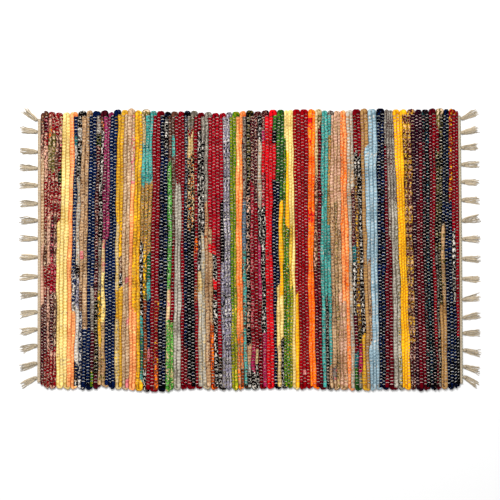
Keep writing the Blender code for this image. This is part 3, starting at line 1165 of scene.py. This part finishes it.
def heading_piece(end):
    """One heading: its own picks, and the warp over them in two pieces."""
    rag_end, outward = ENDS[end]
    stain = HEADING_DYES[end]
    count = len(stain)
    width = HEADING_WIDTHS[end]
    low, high = (np.array(corner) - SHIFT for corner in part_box(f"heading_{end}"))
    top = high[2] - HEADING_TOP_GAP

    def side(pick, across):
        """A heading pick's side: the end of the rags and an even share of the width."""
        inner = rag_side(np.full(across.shape, rag_end), across) + outward * HEADING_GAP
        share = pick / count if outward > 0 else 1 - pick / count
        return inner + outward * width * share

    def edges(along):
        """The lines along which the outermost warps run."""
        far, near = high[1] - HEADING_WARP_EDGE, low[1] + HEADING_WARP_EDGE
        return np.full(along.shape, far), np.full(along.shape, near)

    y = high[1] - (high[1] - low[1]) * np.linspace(0, 1, WARPS + 2) * np.ones((count, 1))
    number = np.arange(1, count + 1, dtype=float)[:, None] * np.ones(y.shape)
    z = np.full(y.shape, top / 2)
    taper = np.ones(y.shape)
    taper[:, [0, -1]] = HEADING_ENDS
    half_width = width / count / 2 * HEADING_PRESS * taper
    half_height = (top / 2 - HEADING_FLOOR_GAP) * taper
    path = np.stack((side(number - 0.5, y), y, z), -1)
    rings = rings_round(path, half_width, half_height, HEADING_AROUND, HEADING_SQUARENESS)
    over = ((np.arange(WARPS + 2)[None, :] + np.arange(count)[:, None]) % 2)[..., None]
    rings[..., 2] -= HEADING_DENT * over * (rings[..., 2] > z[..., None])
    rings += chance.normal(size=rings.shape) * THREAD_LUMPS
    rings[..., 2] = np.clip(rings[..., 2], FLOOR_GAP, None)
    shade = np.clip((top * 0.8 - rings[..., 2]) / top, 0, 1) + 0.12 * over
    thread = np.array(stain)[:, None, :] * (1 + 0.06 * chance.normal(size=(1, y.shape[1], 1)))
    pieces = [thread_piece(f"heading_{end}_picks", rings, heading_cotton, thread, shade)]

    for first, label in enumerate(("over", "under")):
        threads = np.arange(first, WARPS, 2) / (WARPS - 1)
        levels = (0.6 * MM, top - 0.25 * MM, 0.1 * MM)
        paths = warp_paths(threads, count, first == 0, side, edges, levels)
        rings = rings_round(paths, *HEADING_WARP_HALF, WARP_AROUND, WARP_SQUARENESS)
        shade = np.clip((top - rings[..., 2]) / top, 0, 1) * 0.6
        name = f"heading_{end}_warp_{label}"
        pieces.append(thread_piece(name, rings, heading_cotton, CREAM * 0.60, shade))
    return pieces


headings = {end: heading_piece(end) for end in ENDS}

# %% [markdown]
# ## The tassels
#
# About a dozen warp ends are knotted together right against the heading and cut
# off short. From above a tassel is a small lump with a fan of twisted threads.
# Those at the corners lean outwards, and so do several low ones on the left.

# %% Tie the tassels
# place in millimetres, tilt in degrees and fan in millimetres, on the left end, then on the right
TASSELS = numbers("""
279 38 14 282 25 14
254 8 15 252 12 14
211 4 14 220 4 15
176 3 15 184 0 15
139 2 14 147 -3 14
100 0 15 108 -3 15
64 0 16 63 11 17
25 1 14 24 0 14
-14 -2 15 -18 -3 15
-56 -3 14 -61 -3 13
-94 -5 15 -106 9 16
-132 -10 14 -145 10 14
-169 -12 15 -178 1 15
-204 -15 14 -214 -14 14
-242 -18 15 -249 -17 14
-273 -28 14 -271 -33 14
""")
TASSEL_COLUMNS = {"left": (0, 1, 2), "right": (3, 4, 5)}
TASSEL_CREAM = dye(190, 174, 148)
TASSEL_GAP = 0.6 * MM
STRANDS = 13
STRAND_RINGS = 15
STRAND_AROUND = 6
STRAND_RADIUS = 0.62 * MM
STRAND_LENGTH = 36.0 * MM
STRAND_LAYER = 0.85 * MM
STRAND_FLOOR_GAP = 0.05 * MM
BUNDLE_HALF = 1.9 * MM
NECK = 1.9 * MM
KNOT_WRAPS = 3
KNOT_RADIUS = 1.1 * MM
KNOT_MIDDLE = 2.1 * MM


def tassel_frames(end):
    """Where each knot starts, which way its tassel points, which way is aside, and its fan."""
    rag_end, outward = ENDS[end]
    places, tilts, fans = (TASSELS[:, column] for column in TASSEL_COLUMNS[end])
    places = places * MM
    flat = np.zeros(len(places))
    x = rag_side(np.full(places.shape, rag_end), places) + outward * (TASSEL_GAP + HEADING_WIDTHS[end])
    knot = np.stack((x + outward * NECK, places, flat), -1)
    angle = np.radians(tilts)
    ahead = np.stack((outward * np.cos(angle), np.sin(angle), flat), -1)
    aside = np.stack((-ahead[:, 1], ahead[:, 0], flat), -1)
    return knot, ahead, aside, fans * MM


def from_knots(knot, ahead, aside, forward, sideways, lift):
    """Paths that go ahead of each knot, aside from it and up."""
    knot, ahead, aside = (way[:, None, None, :] for way in (knot, ahead, aside))
    path = knot + ahead * forward[..., None] + aside * sideways[..., None]
    path[..., 2] += lift
    return path


def strand_paths(knot, ahead, aside, fans, outward):
    """Paths of all strands of all tassels on one side.

    A strand leaves the heading straight, passes through the knot, and then goes
    ahead by its length times t and aside by its share of the fan times t raised
    to 0.4, with a slow waver. It starts high in the knot and soon lies down.
    """
    count = len(knot)
    t = np.linspace(0, 1, STRAND_RINGS)
    lean = np.linspace(-1, 1, STRANDS)[:, None] + chance.uniform(-0.07, 0.07, size=(count, STRANDS, 1))
    length = STRAND_LENGTH * chance.uniform(0.8, 1.07, size=(count, STRANDS, 1))
    waver = smooth_chance(count * STRANDS, STRAND_RINGS, 3).reshape(count, STRANDS, -1) * 0.8 * MM
    fan = fans[:, None, None] / 2 - 2.0 * MM
    sideways = lean * (BUNDLE_HALF + fan * t**0.4) + waver * t
    level = np.where(np.arange(STRANDS) % 2 == 0, 0.0, STRAND_LAYER)[None, :, None]
    lift = STRAND_RADIUS + STRAND_FLOOR_GAP + level * (0.35 + 0.65 * t) + 1.5 * MM * np.exp(-t * 9)
    path = from_knots(knot, ahead, aside, length * t, sideways, lift)
    path[:, :, 0, 0] -= outward * NECK
    return path.reshape(count * STRANDS, STRAND_RINGS, 3)


def knot_paths(knot, ahead, aside):
    """Paths of the wraps of each knot.

    A wrap goes round the bundle: aside with the sine and up with the cosine,
    and it leans, so that it also moves ahead with the sine. It starts and ends
    underneath, and the middle wrap is the largest.
    """
    turn = np.linspace(-np.pi, np.pi, 13)[None, None, :]
    wrap = np.arange(KNOT_WRAPS)[None, :, None]
    slant = np.where(wrap % 2 == 0, 0.9, -0.9) * MM
    forward = (0.9 + wrap * 1.5) * MM + slant * np.sin(turn)
    sideways = np.sin(turn) * np.where(wrap == 1, 3.5, 2.9) * MM
    lift = KNOT_MIDDLE + np.cos(turn) * np.where(wrap == 1, 1.45, 1.2) * MM
    return from_knots(knot, ahead, aside, forward, sideways, lift).reshape(-1, turn.shape[-1], 3)


def tassel_pieces(end):
    """The strands and the knots of one end, as two pieces."""
    knot, ahead, aside, fans = tassel_frames(end)
    paths = strand_paths(knot, ahead, aside, fans, ENDS[end][1])
    t = np.linspace(0, 1, STRAND_RINGS)
    thick = STRAND_RADIUS * (0.85 + 0.2 * t - 0.35 * t**12)
    half = thick * chance.uniform(0.88, 1.1, size=(len(paths), 1))
    rings = rings_round(paths, half, half, STRAND_AROUND)
    rings += chance.normal(size=rings.shape) * THREAD_LUMPS
    rings[..., 2] = np.clip(rings[..., 2], STRAND_FLOOR_GAP, None)
    colour = TASSEL_CREAM * chance.uniform(0.5, 1.2, size=(len(paths), 1, 1))
    # painted shade: the strands darken towards the knot
    strands = thread_piece(f"tassels_{end}", rings, warp_cotton, colour, 0.5 * np.exp(-t * 5)[:, None])

    paths = knot_paths(knot, ahead, aside)
    rings = rings_round(paths, KNOT_RADIUS, KNOT_RADIUS, STRAND_AROUND)
    rings[..., 2] = np.clip(rings[..., 2], STRAND_FLOOR_GAP, None)
    shade = np.clip((4.0 * MM - rings[..., 2]) / (6 * MM), 0, 1)
    # painted shade: the knots are the tassel cream darkened to 0.74
    return strands, thread_piece(f"knots_{end}", rings, warp_cotton, TASSEL_CREAM * 0.74, shade)


tassels = {end: tassel_pieces(end) for end in ENDS}

# %% [markdown]
# ## Put the pieces in the frame
#
# Every piece rides on the rug's one body, and the imported solids that it
# stands for are hidden.

groups = [(rag_pieces, ["rag_weave"], "rag_cloth"), (warp_pieces, ["rag_weave"], "cotton_thread")]
for end in ENDS:
    groups.append((headings[end], [f"heading_{end}"], "cotton_picks"))
for end in ENDS:
    knotted = [f"tassel_{end}_{number:02d}" for number in range(1, len(TASSELS) + 1)]
    groups.append((tassels[end], knotted, "cotton_thread"))
for pieces, solids, slot in groups:
    for piece in pieces:
        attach(piece, "root")
        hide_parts(*solids)
